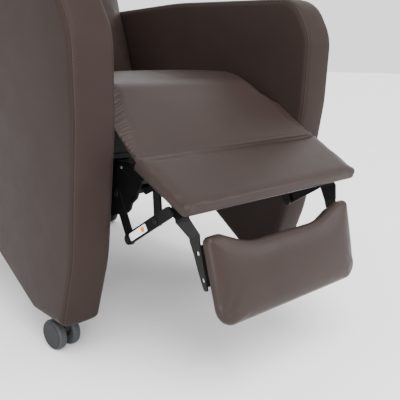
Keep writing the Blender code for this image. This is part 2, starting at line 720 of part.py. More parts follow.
def build_recline_bracket(side, name):
    y, z = BACK_AXIS
    outline = fillet_outline([
        (y - 0.085, 0.3530, 0.006), (y - 0.012, 0.3530, 0.010), (y + 0.016, z - 0.016, 0.014),
        (y + 0.016, z + 0.016, 0.014), (y - 0.016, z + 0.016, 0.012),
        (y - 0.085, 0.3780, 0.004)], steps=3)
    piece = layer_plate("recline_bracket_" + name, outline, side * BASE_PLATE_X,
                        "black_steel", BASE)
    cut_hole(piece, BACK_AXIS, side * BASE_PLATE_X)


# ---- casters ----------------------------------------------------------------------------
def wheel_mesh():
    """A turned wheel about its own Z axis: a grey disc with a slightly dished face."""
    half = WHEEL_WIDTH / 2
    profile = [
        (AXLE_RADIUS + PIN_CLEARANCE, half - 0.0010),
        (WHEEL_RADIUS * 0.72, half - 0.0010),
        (WHEEL_RADIUS * 0.78, half),
        (WHEEL_RADIUS * 0.90, half),
        (WHEEL_RADIUS, half * 0.55),
        (WHEEL_RADIUS, -half * 0.55),
        (WHEEL_RADIUS * 0.90, -half),
        (AXLE_RADIUS + PIN_CLEARANCE, -half),
    ]
    shape = bmesh.new()
    points = [shape.verts.new((radius, 0, height)) for radius, height in profile]
    for index, point in enumerate(points):
        shape.edges.new((point, points[(index + 1) % len(points)]))
    mesh = bpy.data.meshes.new("caster_wheel")
    shape.to_mesh(mesh)
    shape.free()
    mesh.materials.append(finish_material("tyre_grey"))
    return mesh


def build_caster(name, x, y, turn, mesh):
    swivel = bpy.data.objects.new("swivel_" + name, None)
    CHAIR.objects.link(swivel)
    swivel.parent = BASE
    swivel.location = (x, y, 0)
    swivel.rotation_euler = (0, 0, turn)
    half_gap = WHEEL_GAP / 2
    centre = (CASTER_TRAIL, WHEEL_RADIUS)
    hood = fillet_outline([
        (centre[0] - 0.010, centre[1] - 0.009, 0.008),
        (centre[0] + 0.010, centre[1] - 0.009, 0.008),
        (centre[0] + 0.022, centre[1] + 0.012, 0.012),
        (0.010, 0.0660, 0.008),
        (-0.012, 0.0660, 0.005),
        (-0.013, centre[1] + 0.010, 0.012)], steps=3)
    fork = side_plate("caster_fork_" + name, hood, -half_gap + 0.0005, half_gap - 0.0005,
                      "caster_grey", swivel)
    axle = rod_x("axle_" + name, AXLE_RADIUS, -half_gap - WHEEL_WIDTH + 0.001,
                 half_gap + WHEEL_WIDTH - 0.001, centre, parent=swivel, collection=CUTTERS)
    combine(fork, axle, "UNION")
    stem = upright_rod("stem_" + name, 0.0090, 2 * WHEEL_RADIUS + 0.0012,
                       FOOT_HEIGHT - 0.0045, swivel)
    combine(fork, stem, "UNION")
    plate = upright_rod("caster_plate_" + name, 0.0180, FOOT_HEIGHT - 0.0040,
                        FOOT_HEIGHT - 2 * GAP, BASE, "caster_grey", CHAIR)
    plate.location.x = x
    plate.location.y = y
    for label, offset in (("a", -1), ("b", 1)):
        wheel = bpy.data.objects.new("caster_wheel_" + name + "_" + label, mesh)
        CHAIR.objects.link(wheel)
        wheel.parent = swivel
        wheel.location = (offset * (half_gap + WHEEL_WIDTH / 2), *centre)
        wheel.rotation_euler = (0, math.radians(90) * offset, 0)
        turned = wheel.modifiers.new("turned", "SCREW")
        turned.steps = ROUND_STEPS
        turned.render_steps = ROUND_STEPS
        turned.use_merge_vertices = True
        turned.merge_threshold = 0.00001
        turned.use_smooth_shade = True


def upright_rod(name, radius, low_z, high_z, parent, slot=None, collection=None):
    shape = bmesh.new()
    bmesh.ops.create_cone(shape, cap_ends=True, segments=PIN_STEPS, radius1=radius,
                          radius2=radius, depth=high_z - low_z)
    mesh = bpy.data.meshes.new(name)
    shape.to_mesh(mesh)
    shape.free()
    piece = add_piece(name, mesh, slot, parent, collection or CUTTERS)
    piece.location = (0, 0, (low_z + high_z) / 2)
    return piece


# ---- the chair --------------------------------------------------------------------------
SIDES = ((-1, "right"), (1, "left"))

clear_scene()
CHAIR = new_collection("recliner_armchair")
CUTTERS = new_collection("cutters")
BASE = bpy.data.objects.new("chair_origin", None)
CHAIR.objects.link(BASE)
BASE.location = (0, -DEPTH_MIDDLE, 0)

for arm_side, arm_name in SIDES:
    build_arm(arm_side, arm_name)
    build_base_plate(arm_side, arm_name)
build_seat()
build_leg_rest()
build_foot_pad()
build_rear_links()
for bar_side, bar_name in SIDES:
    bar_empty, bar_ends = build_long_bar(bar_side, bar_name)
    if bar_side < 0:
        build_label(bar_empty, bar_ends)
build_backrest()
WHEEL = wheel_mesh()
for caster_name, caster_x, caster_y, caster_turn in (
        ("front_right", -CASTER_X, CASTER_FRONT_Y, CASTER_SWIVEL),
        ("front_left", CASTER_X, CASTER_FRONT_Y, CASTER_SWIVEL),
        ("rear_right", -CASTER_X, CASTER_REAR_Y, -CASTER_SWIVEL),
        ("rear_left", CASTER_X, CASTER_REAR_Y, CASTER_SWIVEL)):
    build_caster(caster_name, caster_x, caster_y, caster_turn, WHEEL)
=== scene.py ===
"""Looks for the recliner armchair: leather upholstery, steel linkage, casters and studio."""
import json
import math

import bmesh
import bpy
import numpy as np
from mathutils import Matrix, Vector
from mathutils.geometry import delaunay_2d_cdt

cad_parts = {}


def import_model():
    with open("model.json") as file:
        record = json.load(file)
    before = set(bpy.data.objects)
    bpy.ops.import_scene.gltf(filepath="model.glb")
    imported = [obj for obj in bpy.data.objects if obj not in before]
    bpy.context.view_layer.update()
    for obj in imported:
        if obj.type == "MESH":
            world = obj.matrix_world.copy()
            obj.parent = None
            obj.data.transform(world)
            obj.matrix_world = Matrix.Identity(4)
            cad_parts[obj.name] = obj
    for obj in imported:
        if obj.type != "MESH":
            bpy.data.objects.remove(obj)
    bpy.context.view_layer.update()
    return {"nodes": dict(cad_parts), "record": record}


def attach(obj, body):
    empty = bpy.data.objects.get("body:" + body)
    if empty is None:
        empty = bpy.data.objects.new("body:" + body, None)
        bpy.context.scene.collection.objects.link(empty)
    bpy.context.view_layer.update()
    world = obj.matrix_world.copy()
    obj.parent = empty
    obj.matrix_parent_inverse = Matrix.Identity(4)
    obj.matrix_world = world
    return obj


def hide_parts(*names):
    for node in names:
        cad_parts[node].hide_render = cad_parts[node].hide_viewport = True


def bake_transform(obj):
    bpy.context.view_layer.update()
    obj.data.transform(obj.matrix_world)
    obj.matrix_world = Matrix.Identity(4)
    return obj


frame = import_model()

DEPTH_MIDDLE = 0.32476       # the outlines below are measured from the arms' front line
RIGHT, LEFT = -1, 1
SIDES = ((RIGHT, "right"), (LEFT, "left"))

ARM_OUTER_X = 0.3170
ARM_INNER_X = 0.2410
FOOT_HEIGHT = 0.0780
ARM_TOP = 0.6700
ARM_REAR = 0.8650
CASTER_X = 0.2820
CASTER_FRONT_Y = 0.1250
CASTER_REAR_Y = 0.8200
FOLD_AXIS = (-0.0600, 0.3720)
LEG_HALF_WIDTH = 0.2260
LEG_REAR = (-0.0625, 0.3940)
LEG_FRONT = (-0.1830, 0.3335)
LEG_FLARE = 0.0060           # the leg rest is this much wider each side at its rear edge
PAD_TOP = (-0.1810, 0.2810)
PAD_BOTTOM = (-0.2185, 0.1310)
PAD_HALF_WIDTH = 0.1900
PAD_DIP = 0.0260
BACK_AXIS = (0.6150, 0.4000)
BACK_LEAN = math.radians(16.5)
BACK_HALF_WIDTH = 0.2320
BACK_FACE = -0.0990
BACK_FRAME_FACE = 0.0080
BACK_FRAME = 0.0200
BACK_BOTTOM = 0.0300
BACK_TOP = 0.7000
HEAD_JOIN = 0.4700


def world(y, z, x=0.0):
    """A point given by how far it is behind the arms' front line, its height and its side."""
    return (x, y - DEPTH_MIDDLE, z)


# ---- materials --------------------------------------------------------------------------
class Shader:
    """A small helper to build one procedural material."""

    def __init__(self, name):
        self.material = bpy.data.materials.new(name)
        self.material.use_nodes = True
        self.tree = self.material.node_tree
        self.main = self.tree.nodes["Principled BSDF"]
        self.where = self.tree.nodes.new("ShaderNodeTexCoord").outputs["Object"]

    def set(self, **values):
        for name, value in values.items():
            self.main.inputs[name.replace("_", " ")].default_value = value

    def node(self, kind, **inputs):
        made = self.tree.nodes.new("ShaderNode" + kind)
        for name, value in inputs.items():
            socket = made.inputs[name.replace("_", " ")]
            if isinstance(value, bpy.types.NodeSocket):
                self.tree.links.new(value, socket)
            else:
                socket.default_value = value
        return made

    def noise(self, scale, detail=3.0, roughness=0.5, stretch=None):
        where = self.where
        if stretch:
            mapping = self.node("Mapping", Vector=where, Scale=stretch)
            where = mapping.outputs["Vector"]
        return self.node("TexNoise", Vector=where, Scale=scale, Detail=detail,
                         Roughness=roughness).outputs["Fac"]

    def cells(self, scale):
        """How far each point is from the edge of its cell."""
        cells = self.node("TexVoronoi", Vector=self.where, Scale=scale)
        cells.feature = "DISTANCE_TO_EDGE"
        return cells.outputs["Distance"]

    def between(self, factor, low, high, start=0.0, end=1.0):
        """A number running from low to high as factor runs from start to end."""
        made = self.node("MapRange", Value=factor)
        for name, value in (("From Min", start), ("From Max", end), ("To Min", low),
                            ("To Max", high)):
            made.inputs[name].default_value = value
        return made.outputs["Result"]

    def ramp(self, factor, *stops):
        made = self.node("ValToRGB", Fac=factor)
        points = made.color_ramp.elements
        while len(points) < len(stops):
            points.new(0.5)
        for point, (place, colour) in zip(points, stops):
            point.position = place
            point.color = (*colour, 1)
        return made.outputs["Color"]

    def math(self, operation, a, b=0.0):
        made = self.tree.nodes.new("ShaderNodeMath")
        made.operation = operation
        for socket, value in zip(made.inputs, (a, b)):
            if isinstance(value, bpy.types.NodeSocket):
                self.tree.links.new(value, socket)
            else:
                socket.default_value = value
        return made.outputs[0]

    def link(self, output, name):
        self.tree.links.new(output, self.main.inputs[name])

    def bump(self, height, strength, distance, normal=None):
        made = self.node("Bump", Height=height, Strength=strength, Distance=distance)
        if normal:
            self.tree.links.new(normal, made.inputs["Normal"])
        return made.outputs["Normal"]


LEATHER_DARK = (0.0240, 0.0164, 0.0143)
LEATHER_LIGHT = (0.0285, 0.0197, 0.0174)


def shade(colour, share):
    """The colour made darker or lighter."""
    return tuple(c * share for c in colour)


def leather(name, tone=1.0, roughness=0.33, specular=0.13):
    """Fine cellular grain with pores, a slight slackness and faint patches of colour."""
    s = Shader(name)
    patch = s.noise(5.0, 3.0, 0.6)
    s.link(s.ramp(patch, (0.30, shade(LEATHER_DARK, tone)), (0.70, shade(LEATHER_LIGHT, tone))),
           "Base Color")
    grain = s.cells(900.0)
    pores = s.noise(1500.0, 2.0, 0.6)
    fine = s.math("ADD", s.math("MULTIPLY", s.math("MINIMUM", grain, 0.35), 1.4),
                  s.math("MULTIPLY", pores, 0.4))
    skin = s.bump(fine, 0.22, 0.00035)
    slack = s.bump(s.noise(14.0, 2.0, 0.45), 0.07, 0.006, skin)
    s.link(slack, "Normal")
    rough = s.between(s.noise(30.0, 4.0, 0.6), roughness - 0.03, roughness + 0.05, 0.3, 0.7)
    s.link(rough, "Roughness")
    s.set(Specular_IOR_Level=specular)
    return s.material


def coated_steel(name, colour, roughness=0.42):
    """Powder-coated steel: a fine orange peel and uneven gloss."""
    s = Shader(name)
    patch = s.noise(60.0, 3.0, 0.6)
    s.link(s.ramp(patch, (0.3, shade(colour, 0.8)), (0.75, shade(colour, 1.35))), "Base Color")
    s.link(s.bump(s.noise(1400.0, 2.0, 0.6), 0.25, 0.0003), "Normal")
    s.link(s.between(s.noise(180.0, 3.0, 0.6), roughness - 0.08, roughness + 0.10), "Roughness")
    s.set(Specular_IOR_Level=0.12)
    return s.material


def plywood(name, dark, light):
    """Dark-stained plywood with its grain running across the chair."""
    s = Shader(name)
    grain = s.noise(14.0, 6.0, 0.65, stretch=(1.0, 18.0, 18.0))
    s.link(s.ramp(grain, (0.30, dark), (0.70, light)), "Base Color")
    s.link(s.bump(grain, 0.2, 0.0006), "Normal")
    s.link(s.between(grain, 0.50, 0.70), "Roughness")
    return s.material


def dust_cloth(name, colour):
    """The matt black lining cloth under the pads; on the black boards under the seat the same
    black is painted shade.
    """
    s = Shader(name)
    fleck = s.noise(900.0, 2.0, 0.7)
    s.link(s.ramp(fleck, (0.3, shade(colour, 0.7)), (0.8, shade(colour, 1.6))), "Base Color")
    s.link(s.bump(fleck, 0.4, 0.0005), "Normal")
    s.link(s.between(s.noise(40.0), 0.75, 0.92), "Roughness")
    return s.material


def moulded(name, colour, roughness):
    """Moulded plastic and other small even surfaces, with a fine texture."""
    s = Shader(name)
    patch = s.noise(90.0, 4.0, 0.6)
    s.link(s.ramp(patch, (0.3, shade(colour, 0.90)), (0.7, shade(colour, 1.10))), "Base Color")
    s.link(s.bump(s.noise(2200.0, 2.0, 0.5), 0.15, 0.0002), "Normal")
    s.link(s.between(s.noise(200.0), roughness - 0.06, roughness + 0.08), "Roughness")
    s.set(Specular_IOR_Level=0.22)
    return s.material


LEATHER = leather("leather_taupe")
# The arms' leather is the seat's leather made more matt and darker by tone 0.94; the darker
# tone is painted shade.
ARM_LEATHER_PAINTED_SHADE = leather("leather_taupe_arm_painted_shade", tone=0.94, roughness=0.42, specular=0.05)
STEEL = coated_steel("powder_coat_black", (0.0035, 0.0035, 0.0036))
# The foot-pad brackets' steel is the black powder coat lifted three times to grey: painted
# light on their flat upper faces.
BRACKET_STEEL_PAINTED_LIGHT = coated_steel("powder_coat_black_painted_light", (0.0105, 0.0105, 0.0105))
PLYWOOD = plywood("stained_plywood", (0.0070, 0.0056, 0.0048), (0.0130, 0.0105, 0.0090))
# Black lining cloth on the pads, and on the black boards under the seat, where its black is
# painted shade.
CLOTH = dust_cloth("dust_cover_black_and_painted_shade", (0.0045, 0.0042, 0.0040))
DISC = moulded("wheel_disc_grey", (0.0056, 0.0063, 0.0074), 0.42)
TYRE = moulded("wheel_tread_grey", (0.0340, 0.0360, 0.0385), 0.55)
LABEL = moulded("sticker_white", (0.78, 0.78, 0.77), 0.35)
AMBER = moulded("sticker_amber", (0.62, 0.22, 0.008), 0.40)
# The thread is the leather's taupe lifted about 1.6 times: taupe thread with a painted
# highlight on the stitches.
THREAD_PAINTED_HIGHLIGHT = moulded("thread_taupe_painted_highlight", (0.0420, 0.0320, 0.0290), 0.50)
RIVET = coated_steel("rivet_black", (0.0060, 0.0060, 0.0060), 0.36)
BOLT = moulded("bolt_zinc", (0.075, 0.078, 0.075), 0.38)


# ---- outlines ---------------------------------------------------------------------------
def fillet_outline(corners, steps=8):
    """Points round a closed outline whose corners are (a, b, radius)."""
    points = []
    count = len(corners)
    for index, (a, b, radius) in enumerate(corners):
        corner = np.array((a, b))
        before = np.array(corners[index - 1][:2]) - corner
        after = np.array(corners[(index + 1) % count][:2]) - corner
        before = before / np.linalg.norm(before)
        after = after / np.linalg.norm(after)
        if radius == 0:
            points.append(corner)
            continue
        half = math.acos(np.clip(before @ after, -1, 1)) / 2
        reach = radius / math.tan(half)
        toward = (before + after) / np.linalg.norm(before + after)
        centre = corner + toward * (radius / math.sin(half))
        start, end = corner + before * reach - centre, corner + after * reach - centre
        turn = math.atan2(start[0] * end[1] - start[1] * end[0], start @ end)
        for step in range(steps + 1):
            angle = turn * step / steps
            c, s = math.cos(angle), math.sin(angle)
            points.append(centre + np.array((c * start[0] - s * start[1],
                                             s * start[0] + c * start[1])))
    return np.array(points)


def even_outline(points, spacing, like=None):
    """The closed outline with extra points on its long sides; like fixes where they go."""
    base = points if like is None else like
    made = []
    for index in range(len(points)):
        a, b = points[index], points[(index + 1) % len(points)]
        long = np.linalg.norm(base[(index + 1) % len(base)] - base[index])
        pieces = max(1, int(round(long / spacing)))
        for piece in range(pieces):
            made.append(a + (b - a) * piece / pieces)
    return np.array(made)


def outline_normals(points):
    """Outward unit normals of an anticlockwise closed outline."""
    ahead = np.roll(points, -1, 0) - np.roll(points, 1, 0)
    ahead = ahead / np.linalg.norm(ahead, axis=1)[:, None]
    return np.stack([ahead[:, 1], -ahead[:, 0]], 1)


# ---- meshes -----------------------------------------------------------------------------
MERGE_DISTANCE = 0.00002
ROW_RATIO = 0.866            # rows of an even triangular grid, as a share of its spacing
CLOTH_FRAMES = 20
CLOTH_MASS = 0.35
CLOTH_STRETCH = 12
CLOTH_BENDING = 0.8
TINY = 1e-9


def new_piece(name, points, faces, material):
    """A smooth-shaded object from points and faces, with doubled points merged."""
    mesh = bpy.data.meshes.new(name)
    mesh.from_pydata([tuple(p) for p in points], [], faces)
    mesh.materials.append(material)
    build = bmesh.new()
    build.from_mesh(mesh)
    bmesh.ops.remove_doubles(build, verts=build.verts, dist=MERGE_DISTANCE)
    bmesh.ops.recalc_face_normals(build, faces=build.faces)
    for face in build.faces:
        face.smooth = True
    build.to_mesh(mesh)
    build.free()
    piece = bpy.data.objects.new(name, mesh)
    bpy.context.scene.collection.objects.link(piece)
    return piece


def side_cap(ring, spacing, crown, reach):
    """A flat side panel filled with points, crowned away from its rim.

    ring is (n, 2). Returns 2-D points, heights and triangles.
    """
    low, high = ring.min(0), ring.max(0)
    grid = []
    rows = int((high[1] - low[1]) / (spacing * ROW_RATIO)) + 1
    for row in range(rows):
        b = low[1] + row * spacing * ROW_RATIO
        shift = spacing / 2 if row % 2 else 0.0
        for a in np.arange(low[0] + shift, high[0], spacing):
            grid.append((a, b))
    grid = np.array(grid)
    inside = inside_outline(grid, ring)
    away = distance_to_outline(grid, ring)
    grid = grid[inside & (away > spacing * 0.6)]
    flat = np.concatenate([ring, grid])
    edges = [(i, (i + 1) % len(ring)) for i in range(len(ring))]
    verts, _, faces, *_ = delaunay_2d_cdt([Vector(p) for p in flat], edges, [], 1, 0.0)
    flat = np.array([tuple(v) for v in verts])
    away = distance_to_outline(flat, ring)
    heights = crown * (1 - np.exp(-away / reach))
    return flat, heights, [tuple(f) for f in faces]


def tube_faces(levels, count):
    """Quads between rings of count points each, one ring after another."""
    faces = []
    for level in range(levels - 1):
        for index in range(count):
            after = (index + 1) % count
            faces.append((level * count + index, level * count + after,
                          (level + 1) * count + after, (level + 1) * count + index))
    return faces


def swell(piece, free, pressure, cap, side_limit=None):
    """Blow the leather up by cloth simulation where free says so, and keep the result.

    No point moves further than cap, nor further sideways than side_limit if that is given.
    """
    mesh = piece.data
    count = len(mesh.vertices)
    before = np.empty(count * 3)
    mesh.vertices.foreach_get("co", before)
    before = before.reshape(-1, 3)
    loose = free(before)
    held = piece.vertex_groups.new(name="held")
    held.add([int(i) for i in np.nonzero(~loose)[0]], 1.0, "REPLACE")
    cloth = piece.modifiers.new("leather", "CLOTH")
    settings = cloth.settings
    settings.quality = 4
    settings.mass = CLOTH_MASS
    settings.tension_stiffness = CLOTH_STRETCH
    settings.compression_stiffness = CLOTH_STRETCH
    settings.bending_stiffness = CLOTH_BENDING
    settings.use_pressure = True
    settings.uniform_pressure_force = pressure
    settings.effector_weights.gravity = 0
    settings.vertex_group_mass = "held"
    cloth.collision_settings.use_collision = False
    cloth.point_cache.frame_start = 1
    cloth.point_cache.frame_end = CLOTH_FRAMES
    for frame_number in range(1, CLOTH_FRAMES + 1):
        bpy.context.scene.frame_set(frame_number)
    blown = piece.evaluated_get(bpy.context.evaluated_depsgraph_get()).data
    after = np.empty(count * 3)
    blown.vertices.foreach_get("co", after)
    moved = after.reshape(-1, 3) - before
    piece.modifiers.remove(cloth)
    piece.vertex_groups.remove(held)
    bpy.context.scene.frame_set(1)
    moved = capped(moved, cap)
    if side_limit:
        moved[:, 0] *= np.minimum(1, side_limit / np.maximum(np.abs(moved[:, 0]), TINY))
    mesh.vertices.foreach_set("co", (before + moved).ravel())
    mesh.update()
    finer = piece.modifiers.new("finer", "SUBSURF")
    finer.levels = finer.render_levels = 1
    smooth = bpy.data.meshes.new_from_object(
        piece.evaluated_get(bpy.context.evaluated_depsgraph_get()))
    piece.modifiers.clear()
    piece.data = smooth
    for polygon in smooth.polygons:
        polygon.use_smooth = True


def capped(moved, cap):
    """Shorten each move so that it nears the cap smoothly and never passes it."""
    long = np.linalg.norm(moved, axis=1)[:, None]
    return moved * np.where(long > TINY, cap * np.tanh(long / cap) / np.maximum(long, TINY), 0)


def inside_outline(points, ring):
    """Which points lie inside a closed ring."""
    inside = np.zeros(len(points), bool)
    for a, b in zip(ring, np.roll(ring, -1, 0)):
        crosses = (a[1] > points[:, 1]) != (b[1] > points[:, 1])
        span = b[1] - a[1] if b[1] != a[1] else 1e-12
        at = a[0] + (points[:, 1] - a[1]) / span * (b[0] - a[0])
        inside ^= crosses & (points[:, 0] < at)
    return inside


def distance_to_outline(points, ring):
    """How far each point is from the nearest side of a closed ring."""
    best = np.full(len(points), 1e9)
    for a, b in zip(ring, np.roll(ring, -1, 0)):
        along = b - a
        share = np.clip((points - a) @ along / max(along @ along, 1e-12), 0, 1)
        gap = np.linalg.norm(points - a - share[:, None] * along, axis=1)
        best = np.minimum(best, gap)
    return best


# ---- arms -------------------------------------------------------------------------------
ARM_SWELL = 0.0030           # how far the wadding stands proud of the frame
ARM_ROUND = 0.0150
ARM_SPACING = 0.014
ARM_PANEL_SPACING = 0.020
ARM_PANEL_CROWN = 0.0030
ARM_PANEL_REACH = 0.05
SEAM_DEPTH = 0.0011
SEAM_ANGLE = math.radians(40)
# angle from the middle of the seam in radians, share of the seam's depth
SEAM_GROOVE = ((-0.085, 0.0), (-0.035, 0.5), (0.0, 1.0), (0.035, 0.5), (0.085, 0.0))
STITCH_ANGLE = SEAM_ANGLE + 0.16
STITCH_LENGTH = 0.0034
STITCH_PITCH = 0.0050
THREAD_RADIUS = 0.00048
THREAD_SIDES = 6
THREAD_LIFT = 0.0001


def arm_outline(foot_end, arch_start, arch_top):
    """An arm seen from the side: two feet with an arch between them, and a rounded top."""
    foot_rear = CASTER_REAR_Y + CASTER_FRONT_Y - foot_end
    arch_rear = CASTER_REAR_Y + CASTER_FRONT_Y - arch_start
    return fillet_outline([
        (0.062, FOOT_HEIGHT, 0.009),
        (foot_end, FOOT_HEIGHT, 0.020),
        (arch_start, arch_top, 0.080),
        (arch_rear, arch_top, 0.080),
        (foot_rear, FOOT_HEIGHT, 0.020),
        (ARM_REAR - 0.006, FOOT_HEIGHT, 0.018),
        (ARM_REAR + 0.004, ARM_TOP - 0.010, 0.060),
        (0.400, ARM_TOP + 0.006, 1.200),
        (0.012, ARM_TOP - 0.006, 0.070),
        (-0.031, 0.590, 0.090),
        (-0.026, 0.455, 0.300),
        (0.012, 0.212, 0.300),
    ])


def rounded_edge():
    """Stations round an arm's edge, with the seam's groove: (depth across, inset)."""
    angles = [(math.radians(90) * step / 8, 0.0) for step in range(9)]
    angles += [(SEAM_ANGLE + nudge, SEAM_DEPTH * share) for nudge, share in SEAM_GROOVE]
    angles.sort()
    return [(ARM_ROUND - (ARM_ROUND - depth) * math.cos(angle),
             ARM_ROUND - (ARM_ROUND - depth) * math.sin(angle)) for angle, depth in angles]


def arm_profile():
    """Stations across the arm: (distance from the outer face, inset of the outline)."""
    wide = ARM_OUTER_X - ARM_INNER_X + 2 * ARM_SWELL
    stations = rounded_edge()
    for share in (0.35, 0.5, 0.65):
        stations.append((wide * share, -0.0012 * math.sin(math.pi * share)))
    inner = [(wide - across, inset) for across, inset in rounded_edge()]
    return wide, stations + inner[::-1]


def arm_ring(outer, inner, across, inset, wide):
    """The arm's outline at one station between its outer and inner faces."""
    ring = outer + (inner - outer) * across / wide
    return ring + outline_normals(ring) * (ARM_SWELL - inset)


def build_arm(side, name):
    """One arm's leather, with corner seams, and the stitches beside them."""
    plan = arm_outline(foot_end=0.178, arch_start=0.378, arch_top=0.192)
    outer = even_outline(plan, ARM_SPACING)
    inner = even_outline(arm_outline(foot_end=0.120, arch_start=0.302, arch_top=0.206),
                         ARM_SPACING, plan)
    wide, stations = arm_profile()
    points, faces, rings = [], [], []
    for across, inset in stations:
        ring = arm_ring(outer, inner, across, inset, wide)
        x = side * (ARM_OUTER_X + ARM_SWELL - across)
        rings.append(ring)
        points.extend(world(y, z, x) for y, z in ring)
    faces.extend(tube_faces(len(stations), len(outer)))
    for ring, x, out in ((rings[0], side * (ARM_OUTER_X + ARM_SWELL), side),
                         (rings[-1], side * (ARM_INNER_X - ARM_SWELL), -side)):
        flat, heights, triangles = side_cap(ring, ARM_PANEL_SPACING, ARM_PANEL_CROWN,
                                            ARM_PANEL_REACH)
        start = len(points)
        points.extend(world(y, z, x + out * h) for (y, z), h in zip(flat, heights))
        faces.extend(tuple(start + i for i in t) for t in triangles)
    arm = new_piece("arm_upholstery_" + name, points, faces, ARM_LEATHER_PAINTED_SHADE)
    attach(arm, "chair")
    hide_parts("arm_outer_pad_" + name, "arm_inner_pad_" + name,
                "arm_edge_band_" + name, "arm_core_" + name)
    build_arm_stitches(side, name, outer, inner, wide)


def build_arm_stitches(side, name, outer, inner, wide):
    """Two rows of stitches round the arm's edge band, one beside each corner seam."""
    points, faces = [], []
    lean, rise = math.cos(STITCH_ANGLE), math.sin(STITCH_ANGLE)
    depth, inset = ARM_ROUND - ARM_ROUND * lean, ARM_ROUND - ARM_ROUND * rise
    for across, way in ((depth, side), (wide - depth, -side)):
        ring = arm_ring(outer, inner, across, inset, wide)
        x = side * (ARM_OUTER_X + ARM_SWELL - across)
        add_stitch_row(points, faces, ring, x, way * lean, rise)
    rows = new_piece("arm_stitches_" + name, points, faces, THREAD_PAINTED_HIGHLIGHT)
    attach(rows, "chair")


def add_stitch_row(points, faces, ring, x, out_x, out_side):
    """Short rounded stitches along a closed ring, standing slightly proud of the leather."""
    closed = np.vstack([ring, ring[:1]])
    steps = np.linalg.norm(np.diff(closed, axis=0), axis=1)
    along = np.concatenate([[0], np.cumsum(steps)])
    normals = outline_normals(ring)
    normals = np.vstack([normals, normals[:1]])
    count = int(along[-1] / STITCH_PITCH)
    for index in range(count):
        middle = index * along[-1] / count
        ends = []
        for share in (-0.5, -0.25, 0.0, 0.25, 0.5):
            at = (middle + share * STITCH_LENGTH) % along[-1]
            place = np.array([np.interp(at, along, closed[:, k]) for k in (0, 1)])
            normal = np.array([np.interp(at, along, normals[:, k]) for k in (0, 1)])
            normal /= np.linalg.norm(normal)
            thick = THREAD_RADIUS * math.sqrt(max(0.12, 1 - (2 * share) ** 2))
            ends.append((place, normal, thick))
        if ends[2][0][1] >= FOOT_HEIGHT + 0.004:         # none on the soles of the feet
            add_stitch(points, faces, ends, x, out_x, out_side)


def add_stitch(points, faces, ends, x, out_x, out_side):
    """One stitch: a short closed tube through its (place, normal, thickness) stations."""
    start = len(points)
    for place, normal, thick in ends:
        outward = np.array((out_x, normal[0] * out_side, normal[1] * out_side))
        outward /= np.linalg.norm(outward)
        tangent = np.array((0.0, -normal[1], normal[0]))
        across = np.cross(tangent, outward)
        base = np.array((x, place[0] - DEPTH_MIDDLE, place[1])) + outward * THREAD_LIFT
        for turn in range(THREAD_SIDES):
            angle = math.radians(360 / THREAD_SIDES) * turn
            points.append(tuple(base + (outward * math.sin(angle)
                                        + across * math.cos(angle)) * thick))
    levels = len(ends)
    faces.extend(tuple(start + i for i in quad) for quad in tube_faces(levels, THREAD_SIDES))
    for level in (0, levels - 1):
        faces.append(tuple(start + level * THREAD_SIDES + turn for turn in range(THREAD_SIDES)))


for arm_side, arm_name in SIDES:
    build_arm(arm_side, arm_name)


# ---- seat -------------------------------------------------------------------------------
SEAT_HALF_WIDTH = 0.2262
SEAT_BASE_Z = 0.3912
SEAT_FRONT_Y = -0.0570
SEAT_REAR_Y = 0.5320
SEAT_EDGE = 0.0085
SEAT_FLAP_REAR_Y = 0.0496
SEAM_HALF_WIDTH = 0.0016
SEAM_DENT = 0.0006
GATHER_PITCH = 0.0082
SIDE_SPREAD = 0.74           # the seat's finely divided sides start at this share of its width


def seat_top_line():
    """The middle of the seat's top as (y, z), front to rear."""
    outline = fillet_outline([
        (-0.0570, 0.3906, 0.0), (0.5026, 0.3906, 0.0), (0.5340, 0.4960, 0.020),
        (0.1600, 0.5200, 0.300), (0.0780, 0.5030, 0.060), (0.0380, 0.4730, 0.060),
        (-0.0570, 0.3978, 0.003)], steps=24)
    top = outline[2:][::-1]
    return top[np.argsort(top[:, 0], kind="stable")]


def seat_underside(y):
    """A thin flap ahead of the upright board, and flat on the seat board behind it."""
    if y < SEAT_FLAP_REAR_Y:
        return float(np.interp(y, (-0.048, 0.027), (SEAT_BASE_Z, 0.4482)))
    return SEAT_BASE_Z


SEAT_SEAM = (
    # y, distance of the seam from the middle, fall from the seam to the edge, gathers
    (-0.0570, 0.2215, 0.0012, 0.00020),
    (-0.0400, 0.2090, 0.0040, 0.00070),
    (-0.0200, 0.1965, 0.0075, 0.00110),
    (0.0000, 0.1890, 0.0105, 0.00130),
    (0.0260, 0.1875, 0.0130, 0.00140),
    (0.0400, 0.1830, 0.0210, 0.00150),
    (0.0540, 0.1740, 0.0300, 0.00160),
    (0.0800, 0.1690, 0.0330, 0.00150),
    (0.1050, 0.1760, 0.0220, 0.00080),
    (0.1400, 0.1900, 0.0110, 0.0),
    (0.2200, 0.1960, 0.0080, 0.0),
)


def seat_roll(x, y):
    """How far the seat's top falls towards its gathered sides, at x across and y back."""
    columns = np.array(SEAT_SEAM).T
    seam, fall, gather = (float(np.interp(y, columns[0], column)) for column in columns[1:])
    share = np.clip((abs(x) - seam) / (SEAT_HALF_WIDTH - seam), 0, 1)
    dent = SEAM_DENT * math.exp(-((abs(x) - seam) / SEAM_HALF_WIDTH) ** 2) if gather else 0.0
    phase = (2 * math.pi * y / GATHER_PITCH + 1.4 * math.sin(y * 171)
             + 0.9 * math.sin(y * 397 + x * 9))
    ruffle = math.sin(phase + 2.2 * share * math.sin(y * 83)) * min(1, 3.0 * share)
    return fall * share ** 1.15 + dent + gather * ruffle


def seat_half_width(y):
    """The flap spreads towards its front, and the seat draws in at its gathered corners."""
    return float(np.interp(y, (-0.057, -0.045, 0.000, 0.045, 0.120, 0.200),
                           (0.2305, 0.2280, 0.2250, 0.2190, 0.2190, 0.2262)))


